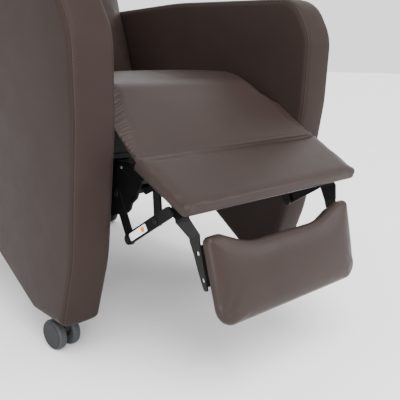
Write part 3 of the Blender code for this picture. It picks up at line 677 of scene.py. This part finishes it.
def build_seat():
    """The seat's leather, with its front flap, side seams and gathers."""
    line = seat_top_line()
    stations = list(np.arange(SEAT_FRONT_Y, 0.0490, 0.0014)) + [0.0493, 0.0499]
    stations += list(np.arange(0.0513, 0.1180, 0.0016))
    stations += list(np.arange(0.1200, 0.1400, 0.0030))
    stations += list(np.linspace(0.1430, SEAT_REAR_Y, 36))
    half = SEAT_HALF_WIDTH
    across = half - SEAT_EDGE
    spread = np.concatenate([np.linspace(-1, -SIDE_SPREAD, 21)[:-1],
                             np.linspace(-SIDE_SPREAD, SIDE_SPREAD, 25),
                             np.linspace(SIDE_SPREAD, 1, 21)[1:]]) * across
    turn = [math.radians(90) * step / 4 for step in range(4)]
    points, faces = [], []
    for y in stations:
        narrow = seat_half_width(y) / half
        top = float(np.interp(y, line[:, 0], line[:, 1]))
        low = seat_underside(y)
        crown = float(np.interp(y, (0.05, 0.2, 0.5), (0.0, 0.0030, 0.0)))
        edge_top = top - seat_roll(across, y)
        radius = min(SEAT_EDGE, max(0.0015, (edge_top - low) / 2 - 0.0002))
        upper, lower = [], []
        for angle in turn:
            x = -across - SEAT_EDGE * math.cos(angle)
            rise = radius * (1 - math.sin(angle))
            upper.append((x, edge_top - rise))
            lower.append((x, low + rise))
        for x in spread:
            bulge = crown * (1 - (x / half) ** 2)
            upper.append((x, top - seat_roll(x, y) + bulge))
            lower.append((x, low))
        for angle in turn[::-1]:
            x = across + SEAT_EDGE * math.cos(angle)
            rise = radius * (1 - math.sin(angle))
            upper.append((x, edge_top - rise))
            lower.append((x, low + rise))
        lean = np.interp(y, (0.28, SEAT_REAR_Y), (0.0, 0.30))
        for x, z in upper + lower[::-1]:
            points.append(world(y - (top - z) * lean, z, x * narrow))
        width = len(upper)
    count = 2 * width
    faces.extend(tube_faces(len(stations), count))
    for level in (0, len(stations) - 1):
        base = level * count
        for index in range(width - 1):
            faces.append((base + index, base + index + 1, base + count - 2 - index,
                          base + count - 1 - index))
    seat = new_piece("seat_upholstery", points, faces, LEATHER)

    def free(p):
        """Only the seat's upper skin, behind the front flap, is free to swell."""
        y, z = p[:, 1] + DEPTH_MIDDLE, p[:, 2]
        top = np.interp(y, line[:, 0], line[:, 1])
        return (z > top - 0.030) & (y > 0.10) & (y < 0.50) & (np.abs(p[:, 0]) < 0.222)

    swell(seat, free, pressure=3.0, cap=0.0060)
    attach(seat, "chair")
    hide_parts("seat_cushion")


# ---- pads -------------------------------------------------------------------------------
DEEP_WALL = 0.012            # a side wall deeper than this is drawn in at its middle
WALL_PULL = 0.0012
LEG_THICKNESS = 0.0220
LEG_LIFT = 0.0016
LEG_CORNER = 0.011
FOOT_THICKNESS = 0.0205
FOOT_LIFT = 0.0095
DIAGONAL = 0.7071
BACK_MARGIN = 0.0025
BACK_LIFT = -0.0118
BACK_SWELLING = 0.022


def pad_place(name):
    """A function from a pad's own (across, up, out of the face) to a world point."""
    if name == "leg":
        run = np.array(LEG_REAR) - np.array(LEG_FRONT)
        slope = math.atan2(run[1], run[0])
        c, s = math.cos(slope), math.sin(slope)
        return lambda a, b, w: world(LEG_FRONT[0] + b * c - w * s,
                                     LEG_FRONT[1] + b * s + w * c, a)
    if name == "foot":
        fall = np.array(PAD_BOTTOM) - np.array(PAD_TOP)
        tilt = math.atan2(-fall[0], -fall[1])
        c, s = math.cos(tilt), math.sin(tilt)
        return lambda a, b, w: world(PAD_TOP[0] + b * s - w * c, PAD_TOP[1] + b * c + w * s, a)
    c, s = math.cos(BACK_LEAN), math.sin(BACK_LEAN)
    return lambda a, b, w: world(BACK_AXIS[0] - w * c + b * s, BACK_AXIS[1] + w * s + b * c, a)


def pillow(name, outline, thickness, rims, crowns, place, spacing=0.010, lift=0.0,
           material=LEATHER, reach=0.035):
    """A closed pad: two crowned faces and a rounded rim, from an outline seen from the front.

    rims and crowns are each (front face, rear face). lift moves the pad out of its place.
    """
    points, rings = [], []
    steps = 5
    levels = []
    for step in range(steps + 1):
        angle = math.radians(90) * step / steps
        levels.append((rims[0] * (1 - math.sin(angle)), -rims[0] * (1 - math.cos(angle))))
    wall = thickness - rims[0] - rims[1]
    if wall > DEEP_WALL:
        for share in (0.25, 0.5, 0.75):
            levels.append((WALL_PULL * math.sin(math.pi * share), -(rims[0] + wall * share)))
    for step in range(steps + 1):
        angle = math.radians(90) * step / steps
        levels.append((rims[1] * (1 - math.cos(angle)),
                       -thickness + rims[1] * (1 - math.sin(angle))))
    for inset, out in levels:
        ring = outline - outline_normals(outline) * inset
        rings.append(ring)
        points.extend(place(a, b, out + lift) for a, b in ring)
    faces = tube_faces(len(levels), len(outline))
    for ring, out, crown, way in ((rings[0], 0.0, crowns[0], 1),
                                  (rings[-1], -thickness, crowns[1], -1)):
        flat, heights, triangles = side_cap(ring, spacing, crown, reach)
        start = len(points)
        points.extend(place(a, b, out + lift + way * h) for (a, b), h in zip(flat, heights))
        faces.extend(tuple(start + i for i in t) for t in triangles)
    return new_piece(name, points, faces, material)


def finish_pad(piece, body, node):
    """Say what a piece rides on and which solid it stands for."""
    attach(piece, body)
    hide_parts(node)


def build_leg_rest():
    """The leg rest's leather, with folded corners, and its lining cloth."""
    place = pad_place("leg")
    long = float(np.linalg.norm(np.array(LEG_REAR) - np.array(LEG_FRONT)))
    half = LEG_HALF_WIDTH
    rear = half + LEG_FLARE
    plan = fillet_outline([(-half, 0.0, LEG_CORNER), (half, 0.0, LEG_CORNER),
                           (rear, long, 0.0032), (-rear, long, 0.0032)])
    pad = pillow("legrest_upholstery", even_outline(plan, 0.009), LEG_THICKNESS,
                 (0.0062, 0.0070), (0.0010, 0.0), place, lift=LEG_LIFT)
    swell(pad, lambda p: along_normal(p, place) > -0.012, pressure=3.0, cap=0.0026)
    corner_pleats(pad, place, half)
    finish_pad(pad, "leg_rest", "legrest_cushion")
    inset = LEG_CORNER
    plan = fillet_outline([(-half + inset, inset, 0.006), (half - inset, inset, 0.006),
                           (half - inset, long - 0.020, 0.006),
                           (-half + inset, long - 0.020, 0.006)])
    panel = pillow("legrest_dust_panel", even_outline(plan, 0.02), 0.0016, (0.0004, 0.0004),
                   (0.0, 0.0), place, spacing=0.03, lift=-0.0192, material=CLOTH)
    finish_pad(panel, "leg_rest", "legrest_board")


def along_normal(points, place):
    """Signed height of world points over a pad's own face."""
    origin = np.array(place(0, 0, 0))
    out = np.array(place(0, 0, 1)) - origin
    return (points - origin) @ out


def corner_pleats(piece, place, half):
    """Folded corners: a short crease running in from each front corner of the leg rest."""
    origin = np.array(place(0, 0, 0))
    up = np.array(place(0, 1, 0)) - origin
    out = np.array(place(0, 0, 1)) - origin
    mesh = piece.data
    for vertex in mesh.vertices:
        p = np.array(vertex.co) - origin
        a, b, w = p[0], p @ up, p @ out
        if w < -0.015:
            continue
        side = half - abs(a)
        run = (side + b) * DIAGONAL
        off = (side - b) * DIAGONAL
        fade = math.exp(-max(run, 0) / 0.014)
        dent = 0.0016 * fade * math.exp(-(off / 0.0022) ** 2)
        puff = 0.0007 * fade * math.exp(-((abs(off) - 0.006) / 0.004) ** 2)
        vertex.co = tuple(np.array(vertex.co) + out * (puff - dent))


def foot_outline(margin=0.0):
    """The foot pad seen from the front: round lower corners and a dip between two horns."""
    fall = np.linalg.norm(np.array(PAD_BOTTOM) - np.array(PAD_TOP))
    half = PAD_HALF_WIDTH - margin
    low = -fall + margin
    return fillet_outline([
        (-half + 0.004, low, 0.034), (half - 0.004, low, 0.034), (half, -margin, 0.012),
        (half - 0.034, -margin, 0.026), (half - 0.095, -PAD_DIP - margin, 0.140),
        (-half + 0.095, -PAD_DIP - margin, 0.140), (-half + 0.034, -margin, 0.026),
        (-half, -margin, 0.012)])


def build_foot_pad():
    """The foot pad's leather and its lining cloth."""
    place = pad_place("foot")
    pad = pillow("footpad_upholstery", even_outline(foot_outline(), 0.008), FOOT_THICKNESS,
                 (0.0105, 0.0085), (0.0040, 0.0), place, lift=FOOT_LIFT, reach=0.022,
                 spacing=0.009)
    swell(pad, lambda p: along_normal(p, place) > 0.002, pressure=3.5, cap=0.0022)
    finish_pad(pad, "foot_pad", "footpad_cushion")
    panel = pillow("footpad_back_panel", even_outline(foot_outline(0.0110), 0.02), 0.0078,
                   (0.0006, 0.0006), (0.0, 0.0), place, spacing=0.03, lift=-0.0108,
                   material=CLOTH)
    finish_pad(panel, "foot_pad", "footpad_board")


def back_outline(low, high, half, corners, waist=0.0040):
    """A back cushion seen from the front: full corners, sides drawn in between them."""
    middle = (low + high) / 2
    low_round, high_round = corners
    return fillet_outline([
        (-half, low, low_round), (0.0, low + waist, 0.6), (half, low, low_round),
        (half - waist, middle, 0.6), (half, high, high_round), (0.0, high - waist, 0.9),
        (-half, high, high_round), (-half + waist, middle, 0.6)], steps=6)


def build_back():
    """The back and head cushions and the tight rear cover."""
    place = pad_place("back")
    half = BACK_HALF_WIDTH - BACK_MARGIN
    deep = -BACK_FACE + BACK_FRAME_FACE
    for name, low, high, corners in (
            ("back_cushion", BACK_BOTTOM + 0.004, HEAD_JOIN - 0.003, (0.030, 0.026)),
            ("head_cushion", HEAD_JOIN + 0.003, BACK_TOP - 0.006, (0.026, 0.055))):
        plan = even_outline(back_outline(low, high, half, corners), 0.013)
        pad = pillow(name.replace("cushion", "upholstery"), plan, deep - 0.012, (0.018, 0.006),
                     (0.0090, 0.0), place, spacing=0.013, lift=-BACK_FACE + BACK_LIFT,
                     reach=0.05)
        swell(pad, lambda p: along_normal(p, place) > 0.014, pressure=4.0,
              cap=BACK_SWELLING, side_limit=0.0035)
        finish_pad(pad, "backrest", name)
    cover = even_outline(back_outline(BACK_BOTTOM, BACK_TOP, BACK_HALF_WIDTH, (0.02, 0.05),
                                      waist=0.0015), 0.016)
    rear = BACK_FRAME_FACE + BACK_FRAME
    panel = pillow("back_panel", cover, 0.0155, (0.0050, 0.0075), (0.0, 0.0012), place,
                   spacing=0.02, lift=-rear - 0.0004)
    finish_pad(panel, "backrest", "back_cover")


CREASE = (
    # y, height of the top, thickness, half width
    (-0.0515, 0.4010, 0.0012, 0.2250),
    (-0.0545, 0.3999, 0.0030, 0.2285),
    (-0.0575, 0.3976, 0.0048, 0.2305),
    (-0.0600, 0.3949, 0.0050, 0.2305),
    (-0.0622, 0.3944, 0.0050, 0.2295),
    (-0.0655, 0.3938, 0.0048, 0.2265),
    (-0.0695, 0.3919, 0.0030, 0.2240),
    (-0.0735, 0.3892, 0.0012, 0.2200),
)


def build_crease():
    """The strip of leather that hinges the leg rest to the seat's front edge."""
    spread = np.linspace(-1, 1, 61)
    points = []
    for layer in (0, 1):
        for y, top, thick, half in CREASE:
            for x in spread * half:
                ripple = 0.0003 * math.sin(x * 310) * math.sin(x * 71)
                points.append(world(y, top - layer * thick + ripple, x))
    rows, cols = len(CREASE), len(spread)

    def quad(*corners):
        return tuple((layer * rows + row) * cols + col for layer, row, col in corners)

    faces = []
    for row in range(rows - 1):
        for layer in (0, 1):
            faces.extend(quad((layer, row, col), (layer, row, col + 1),
                              (layer, row + 1, col + 1), (layer, row + 1, col))
                         for col in range(cols - 1))
        faces.extend(quad((0, row, col), (0, row + 1, col), (1, row + 1, col), (1, row, col))
                     for col in (0, cols - 1))
    for row in (0, rows - 1):
        faces.extend(quad((0, row, col), (0, row, col + 1), (1, row, col + 1), (1, row, col))
                     for col in range(cols - 1))
    strip = new_piece("crease_strip", points, faces, LEATHER)
    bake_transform(strip)


build_seat()
build_leg_rest()
build_foot_pad()
build_back()
build_crease()


# ---- casters ----------------------------------------------------------------------------
WHEEL_RADIUS = 0.0310
WHEEL_HALF = 0.00875
WHEEL_OFFSET = 0.0160
CASTER_TRAIL = 0.0100
CASTER_TURN = math.radians(6.4)
DISC_EDGE = 0.0268
DISC_SEAT = 0.0040           # how deep the disc sits in the tread
HUB_RADIUS = 0.0050
WHEEL_SEGMENTS = 72


def arc_points(centre, radius, first, last, steps):
    """Points of an arc, angles in degrees."""
    made = []
    for step in range(steps + 1):
        angle = math.radians(first + (last - first) * step / steps)
        made.append((centre[0] + radius * math.cos(angle),
                     centre[1] + radius * math.sin(angle)))
    return made


def turned_piece(name, profile, centre, axis, material, segments=WHEEL_SEGMENTS):
    """A closed (radius, along) profile turned about an axis through a world point."""
    axis = np.array(axis)
    up = np.array((0.0, 0.0, 1.0))
    side = np.cross(axis, up)
    points = []
    for step in range(segments):
        angle = 2 * math.pi * step / segments
        out = up * math.cos(angle) + side * math.sin(angle)
        for radius, along in profile:
            points.append(tuple(np.array(centre) + out * radius + axis * along))
    count = len(profile)
    faces = []
    for step in range(segments):
        after = (step + 1) % segments
        for index in range(count):
            nxt = (index + 1) % count
            faces.append((step * count + index, after * count + index,
                          after * count + nxt, step * count + nxt))
    return new_piece(name, points, faces, material)


def build_wheel(name, label, x, y, turn):
    """One caster wheel: a dark moulded disc in the outer face of a rounded grey tread."""
    way = -1 if label == "a" else 1
    axis = np.array((math.cos(turn), math.sin(turn), 0.0))
    ahead = np.array((-math.sin(turn), math.cos(turn), 0.0))
    centre = np.array((x, y - DEPTH_MIDDLE, WHEEL_RADIUS)) + ahead * CASTER_TRAIL
    centre = centre + axis * WHEEL_OFFSET * way
    outward = axis * way
    half = WHEEL_HALF
    body = "wheel_" + name + "_" + label
    tread = [(HUB_RADIUS, -half), (0.0240, -half)]
    tread += arc_points((WHEEL_RADIUS - 0.0055, -half + 0.0055), 0.0055, -80, 0, 6)
    tread += arc_points((WHEEL_RADIUS - 0.0062, half - 0.0058), 0.0062, 0, 72, 8)
    tread += [(DISC_EDGE + 0.0006, half + 0.0001), (DISC_EDGE + 0.0002, half - 0.0008),
              (DISC_EDGE + 0.0002, half - DISC_SEAT), (HUB_RADIUS, half - DISC_SEAT)]
    piece = turned_piece("tread_" + name + "_" + label, tread, centre, outward, TYRE)
    finish_pad(piece, body, "caster_wheel_" + name + "_" + label)
    disc = [(0.0002, half - 0.0039), (DISC_EDGE - 0.0002, half - 0.0039)]
    disc += arc_points((DISC_EDGE - 0.0014, half - 0.0006), 0.0012, 0, 90, 4)
    disc += [(0.0245, half + 0.0006), (0.0180, half + 0.0004), (0.0014, half + 0.0003),
             (0.0002, half + 0.0003)]
    cap = turned_piece("wheel_disc_" + name + "_" + label, disc, centre, outward, DISC)
    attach(cap, body)


for caster_name, caster_x, caster_y, caster_turn in (
        ("front_right", -CASTER_X, CASTER_FRONT_Y, CASTER_TURN),
        ("front_left", CASTER_X, CASTER_FRONT_Y, CASTER_TURN),
        ("rear_right", -CASTER_X, CASTER_REAR_Y, -CASTER_TURN),
        ("rear_left", CASTER_X, CASTER_REAR_Y, CASTER_TURN)):
    for wheel_label in ("a", "b"):
        build_wheel(caster_name, wheel_label, caster_x, caster_y, caster_turn)


# ---- linkage details --------------------------------------------------------------------
RIVET_RADIUS = 0.0056
BOLT_RADIUS = 0.0028
RIVET_PROUD = 0.0021
RIVET_RIM = 0.0004
RIVET_SEGMENTS = 28


def dome_rivet(name, body, x, y, z, side, radius, material):
    """A low domed head facing sideways out of the linkage."""
    profile = [(0.0001, 0.0), (radius, 0.0)]
    for angle in (0, 22, 45, 68):
        a = math.radians(angle)
        profile.append((radius * math.cos(a), RIVET_RIM + RIVET_PROUD * math.sin(a)))
    profile.append((0.0001, RIVET_RIM + RIVET_PROUD))
    rivet = turned_piece(name, profile, world(y, z, x), (side, 0.0, 0.0), material,
                         RIVET_SEGMENTS)
    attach(rivet, body)


LINK_FOOT = (-0.0160, 0.2450)
LINK_AXIS = (0.0210, 0.3210)
BAR_PIVOT = (-0.0970, 0.2960)
BAR_TIP = (-0.1300, 0.3168)
BAR_FACE_X = 0.2209
LINK_FACE_X = 0.2157
PLATE_FACE_X = 0.2108
for rivet_side, rivet_name in SIDES:
    for label, body, face, place in (
            ("bar_foot", "long_bar_" + rivet_name, BAR_FACE_X, LINK_FOOT),
            ("bar_top", "long_bar_" + rivet_name, BAR_FACE_X, BAR_PIVOT),
            ("fold", "leg_rest", LINK_FACE_X, FOLD_AXIS),
            ("link", "rear_links", LINK_FACE_X, LINK_AXIS),
            ("bolt_upper", "chair", PLATE_FACE_X, (0.0080, 0.3690)),
            ("bolt_lower", "chair", PLATE_FACE_X, (0.0560, 0.3400))):
        is_bolt = label.startswith("bolt")
        dome_rivet("rivet_" + label + "_" + rivet_name, body, rivet_side * face, *place,
                   rivet_side, BOLT_RADIUS if is_bolt else RIVET_RADIUS,
                   BOLT if is_bolt else RIVET)


def build_label():
    """A blank sticker with rounded corners and one plain amber square."""
    start, end = np.array(LINK_FOOT), np.array(BAR_TIP)
    along = (end - start) / np.linalg.norm(end - start)
    across = np.array((-along[1], along[0]))

    def spot(a, b, w):
        y, z = start + along * a + across * b
        return world(y, z, -BAR_FACE_X - w)

    for name, near, far, half, low, high, material in (
            ("sticker_blank", 0.0105, 0.0670, 0.0066, 0.0003, 0.0008, LABEL),
            ("sticker_amber_square", 0.0500, 0.0600, 0.0044, 0.0008, 0.0010, AMBER)):
        corner = 0.0022 if material is LABEL else 0.0008
        plan = fillet_outline([(near, -half, corner), (far, -half, corner), (far, half, corner),
                               (near, half, corner)], steps=5)
        piece = pillow(name, even_outline(plan, 0.006), high - low, (0.0001, 0.0001),
                       (0.0, 0.0), spot, spacing=0.01, lift=high, material=material)
        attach(piece, "long_bar_right")
        if material is LABEL:
            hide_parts("bar_label")


build_label()


# ---- frame and steel parts --------------------------------------------------------------
EDGE_WEAR = 0.0005
# The black_board parts under the seat get the black cloth as painted shade.
NODE_FINISH = {
    "leather": LEATHER, "frame_wood": PLYWOOD, "black_steel": STEEL, "black_board": CLOTH,
    "caster_grey": DISC, "tyre_grey": TYRE, "label_white": LABEL,
}
for part in frame["record"]["subparts"]:
    node = frame["nodes"][part["node"]]
    node.data.materials.clear()
    node.data.materials.append(NODE_FINISH[part["material_slot"]])
    if part["material_slot"] in ("black_steel", "caster_grey"):
        worn = node.modifiers.new("worn edges", "BEVEL")
        worn.width = EDGE_WEAR
        worn.segments = 2
        worn.limit_method = "ANGLE"
        worn.angle_limit = math.radians(40)
# The foot-pad brackets take the grey copy of the black powder coat, which is painted light.
for side_name in ("left", "right"):
    bracket = frame["nodes"]["footpad_bracket_" + side_name]
    bracket.data.materials[0] = BRACKET_STEEL_PAINTED_LIGHT


# ---- studio -----------------------------------------------------------------------------
FLOOR_HALF = 14.0
SKY_STRENGTH = 1.6
SUN_STRENGTH = 2.8
SUN_SPREAD = math.radians(50)
SUN_AIM = (0.16, 0.80, -1.6)
LAMPS = (
    # name, place, target, width, height, watts
    ("key", (-1.5, -3.2, 2.4), (0, -0.1, 0.35), 1.6, 2.2, 70),
    ("low_left", (-2.3, -2.5, 0.75), (0, -0.3, 0.25), 0.5, 0.8, 52),
    ("right", (2.0, -2.6, 1.3), (0, -0.3, 0.35), 0.7, 1.0, 22),
)
CAMERA_LENS = 52.58
CAMERA_SHIFT = 0.10
CAMERA_PITCH = math.radians(17.845)
CAMERA_YAW = math.radians(41.99)
CAMERA_PLACE = (-0.7818, -0.8301 - DEPTH_MIDDLE, 0.5600)


def place_holder(name, data, aim, place=(0, 0, 0)):
    """Put a lamp or camera into the scene, looking along aim."""
    holder = bpy.data.objects.new(name, data)
    holder.location = place
    holder.rotation_euler = Vector(aim).to_track_quat("-Z", "Y").to_euler()
    bpy.context.scene.collection.objects.link(holder)
    return holder


def build_stage():
    """A plain pale floor, an even sky, soft light from above and three lamps."""
    size = FLOOR_HALF
    mesh = bpy.data.meshes.new("studio_floor")
    mesh.from_pydata([(-size, -size, 0), (size, -size, 0), (size, size, 0), (-size, size, 0)],
                     [], [(0, 1, 2, 3)])
    s = Shader("studio_floor")
    s.link(s.ramp(s.noise(3.0), (0.3, (0.90, 0.90, 0.90)), (0.7, (0.92, 0.92, 0.92))),
           "Base Color")
    s.set(Roughness=0.85)
    mesh.materials.append(s.material)
    floor = bpy.data.objects.new("studio_floor", mesh)
    bpy.context.scene.collection.objects.link(floor)
    sky = bpy.data.worlds.new("studio")
    bpy.context.scene.world = sky
    sky.use_nodes = True
    sky.node_tree.nodes["Background"].inputs["Color"].default_value = (1, 1, 1, 1)
    sky.node_tree.nodes["Background"].inputs["Strength"].default_value = SKY_STRENGTH
    sun = bpy.data.lights.new("overhead", "SUN")
    sun.energy = SUN_STRENGTH
    sun.angle = SUN_SPREAD
    place_holder("overhead", sun, SUN_AIM)
    for name, place, target, wide, tall, watts in LAMPS:
        light = bpy.data.lights.new(name, "AREA")
        light.shape = "RECTANGLE"
        light.size, light.size_y = wide, tall
        light.energy = watts
        place_holder(name, light, Vector(target) - Vector(place), place)


def build_camera():
    """A camera low in front of the chair's right side, looking down at the seat."""
    camera = bpy.data.cameras.new("camera")
    camera.sensor_width = 36.0
    camera.lens = CAMERA_LENS
    camera.shift_y = CAMERA_SHIFT
    aim = (math.sin(CAMERA_YAW) * math.cos(CAMERA_PITCH),
           math.cos(CAMERA_YAW) * math.cos(CAMERA_PITCH), -math.sin(CAMERA_PITCH))
    bpy.context.scene.camera = place_holder("camera", camera, aim, CAMERA_PLACE)


build_stage()
build_camera()
bpy.context.view_layer.update()
